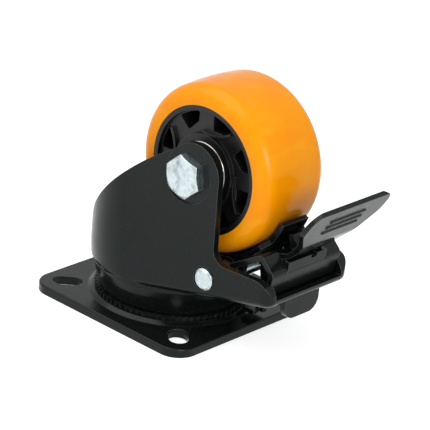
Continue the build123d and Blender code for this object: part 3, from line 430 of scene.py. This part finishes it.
def screw_thread(start, end, root, depth, pitch):
    """A helical ridge round the axle, from y = start to y = end.

    With a the angle turned and w the place across the ridge, a point is the axle's centre plus
    r(w, a) (cos a, 0, sin a), at y = start + pitch a / 2 pi + w. The ridge is a trapezium of
    height depth over the root radius, and it rises from and sinks into the root at its ends."""
    turns = (end - start) / pitch
    angle = np.linspace(0.0, 2 * math.pi * turns, int(STEPS_A_TURN * turns))[:, None]
    ease = np.clip(np.minimum(angle, angle[-1] - angle) / RUN_OUT, 0.0, 1.0)
    rise = np.where(RIDGE_HEIGHT > 0, RIDGE_HEIGHT * ease - SUNK * (1 - ease), RIDGE_HEIGHT)
    radius = root + depth * rise
    y = start + pitch * angle / (2 * math.pi) + pitch * RIDGE_ACROSS
    points = np.stack([AXLE[0] + radius * np.cos(angle), y, AXLE[2] + radius * np.sin(angle)],
                      axis=-1)
    return tube_mesh("axle_thread", points)


def new_piece(name, mesh, material, body):
    """A smooth piece that rides on a body and takes the finish that it is given."""
    piece = bpy.data.objects.new(name, mesh)
    bpy.context.collection.objects.link(piece)
    mesh.materials.append(material)
    mesh.polygons.foreach_set("use_smooth", np.ones(len(mesh.polygons), dtype=bool))
    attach(piece, body)
    return piece


# ---- stage ----------------------------------------------------------------------------
def white_paper():
    """Matt white paper that also shows white to the camera, keeps the shadow, and is clear
    from below."""
    made = bpy.data.materials.new("white_paper")
    made.use_nodes = True
    tree = made.node_tree
    shader = tree.nodes["Principled BSDF"]
    lift = add(tree, "ShaderNodeMath", {"operation": "MULTIPLY"}, {0: seen(tree), 1: FLOOR_LIFT})
    plug(tree, shader, {
        "Base Color": linear("#DADADA"), "Roughness": 0.9, "Emission Color": WHITE,
        "Emission Strength": lift.outputs[0]})
    under = add(tree, "ShaderNodeNewGeometry").outputs["Backfacing"]
    clear = add(tree, "ShaderNodeBsdfTransparent").outputs[0]
    sided = add(tree, "ShaderNodeMixShader", inputs={0: under, 1: shader.outputs[0], 2: clear})
    plug(tree, tree.nodes["Material Output"], {"Surface": sided.outputs[0]})
    return made


def lay_floor():
    """A square of paper just under the plate."""
    size, low = FLOOR_HALF, -FLOOR_DROP
    mesh = bpy.data.meshes.new("floor")
    corners = [(-size, -size, low), (size, -size, low), (size, size, low), (-size, size, low)]
    mesh.from_pydata(corners, [], [(0, 1, 2, 3)])
    floor = bpy.data.objects.new("floor", mesh)
    bpy.context.collection.objects.link(floor)
    mesh.materials.append(white_paper())


def light_room():
    """A world that is white to the camera, and plain light to everything else."""
    world = bpy.data.worlds.new("studio")
    bpy.context.scene.world = world
    world.use_nodes = True
    tree = world.node_tree
    tree.nodes.clear()
    plain = add(tree, "ShaderNodeBackground", inputs={
        "Color": linear("#F2F4F6"), "Strength": PLAIN_LIGHT})
    white = add(tree, "ShaderNodeBackground", inputs={"Color": WHITE, "Strength": 1.0})
    mix = add(tree, "ShaderNodeMixShader", inputs={
        0: seen(tree), 1: plain.outputs[0], 2: white.outputs[0]})
    add(tree, "ShaderNodeOutputWorld", inputs={"Surface": mix.outputs[0]})


def hang_lamp(name, power, place, aim, size):
    """A square area lamp turned towards a point."""
    data = bpy.data.lights.new(name, "AREA")
    data.shape = "SQUARE"
    data.size = size
    data.energy = power
    made = bpy.data.objects.new(name, data)
    bpy.context.collection.objects.link(made)
    made.location = place
    made.rotation_euler = (Vector(place) - Vector(aim)).to_track_quat("Z", "Y").to_euler()


def stand_camera(azimuth, elevation, roll, distance, lens):
    """A camera that looks along the direction of two angles, rolled about it."""
    back = Vector((math.sin(azimuth) * math.cos(elevation),
                   -math.cos(azimuth) * math.cos(elevation), math.sin(elevation)))
    right = Vector((math.cos(azimuth), math.sin(azimuth), 0))
    up = back.cross(right)
    across = math.cos(roll) * right + math.sin(roll) * up
    upward = -math.sin(roll) * right + math.cos(roll) * up
    data = bpy.data.cameras.new("camera")
    data.sensor_width = SENSOR_MM
    data.lens = lens
    data.clip_end = CLIP_END
    camera = bpy.data.objects.new("camera", data)
    bpy.context.collection.objects.link(camera)
    place = back * distance + across * VIEW_ACROSS_MM * MM + upward * VIEW_UP_MM * MM
    turn = Matrix((across, upward, back)).transposed().to_4x4()
    camera.matrix_world = Matrix.Translation(place) @ turn
    bpy.context.scene.camera = camera


# ---- operators ------------------------------------------------------------------------
class CASTOR_OT_steel(bpy.types.Operator):
    """Paints the pressed steel, blackens the lock ring and polishes the bearings"""
    bl_idname = "castor.steel"
    bl_label = "Steel parts"

    def execute(self, context):
        finish = context.scene.castor_finish
        dress(COATED, dip_coat(tuple(finish.coat)))
        dress(("lock_ring",), phosphate(tuple(finish.coat)))
        dress(GROUND, ground_steel(tuple(finish.ground)))
        return {"FINISHED"}


class CASTOR_OT_fasteners(bpy.types.Operator):
    """Plates the bolt, nut, washer, sleeve and rivets, and cuts the thread of the axle bolt"""
    bl_idname = "castor.fasteners"
    bl_label = "Fasteners"

    def execute(self, context):
        thread = context.scene.castor_thread
        plate = zinc_plate(tuple(context.scene.castor_finish.zinc))
        dress(ZINCED, plate)
        dress(("nut_insert",), natural_nylon())
        mesh = screw_thread(THREAD_FROM, THREAD_TO, THREAD_ROOT, thread.depth, thread.pitch)
        new_piece("axle_thread", mesh, plate, "swivel")
        return {"FINISHED"}


class CASTOR_OT_wheel(bpy.types.Operator):
    """Gives the tread and the core of the wheel their finishes"""
    bl_idname = "castor.wheel"
    bl_label = "Wheel"

    def execute(self, context):
        finish = context.scene.castor_finish
        dress(("tread",), cast_polyurethane(tuple(finish.tread)))
        dress(("wheel_core",), moulded_core(tuple(finish.core)))
        return {"FINISHED"}


class CASTOR_OT_stage(bpy.types.Operator):
    """Makes the floor, the lamps and the camera"""
    bl_idname = "castor.stage"
    bl_label = "Stage"

    def execute(self, context):
        stage = context.scene.castor_stage
        context.scene.view_settings.view_transform = "Standard"
        lay_floor()
        light_room()
        hang_lamp("key", stage.key, **KEY)
        hang_lamp("fill", stage.fill, **FILL)
        stand_camera(stage.azimuth, stage.elevation, stage.roll, stage.distance, stage.lens)
        return {"FINISHED"}


class CASTOR_PT_panel(bpy.types.Panel):
    """Sidebar panel that lists the castor's finishing steps"""
    bl_label = "Castor"
    bl_idname = "CASTOR_PT_panel"
    bl_space_type = "VIEW_3D"
    bl_region_type = "UI"
    bl_category = "Castor"

    def draw(self, context):
        for step in STEPS:
            self.layout.operator(step.bl_idname)


STEPS = (CASTOR_OT_steel, CASTOR_OT_fasteners, CASTOR_OT_wheel, CASTOR_OT_stage)
GROUPS = (CastorFinish, CastorThread, CastorStage)
CLASSES = GROUPS + STEPS + (CASTOR_PT_panel,)


def register():
    for made in CLASSES:
        bpy.utils.register_class(made)
    bpy.types.Scene.castor_finish = bpy.props.PointerProperty(type=CastorFinish)
    bpy.types.Scene.castor_thread = bpy.props.PointerProperty(type=CastorThread)
    bpy.types.Scene.castor_stage = bpy.props.PointerProperty(type=CastorStage)


def unregister():
    del bpy.types.Scene.castor_finish
    del bpy.types.Scene.castor_thread
    del bpy.types.Scene.castor_stage
    for made in reversed(CLASSES):
        bpy.utils.unregister_class(made)


def main():
    """Registers the classes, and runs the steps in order."""
    register()
    bpy.ops.castor.steel()
    bpy.ops.castor.fasteners()
    bpy.ops.castor.wheel()
    bpy.ops.castor.stage()


if __name__ == "__main__":
    main()
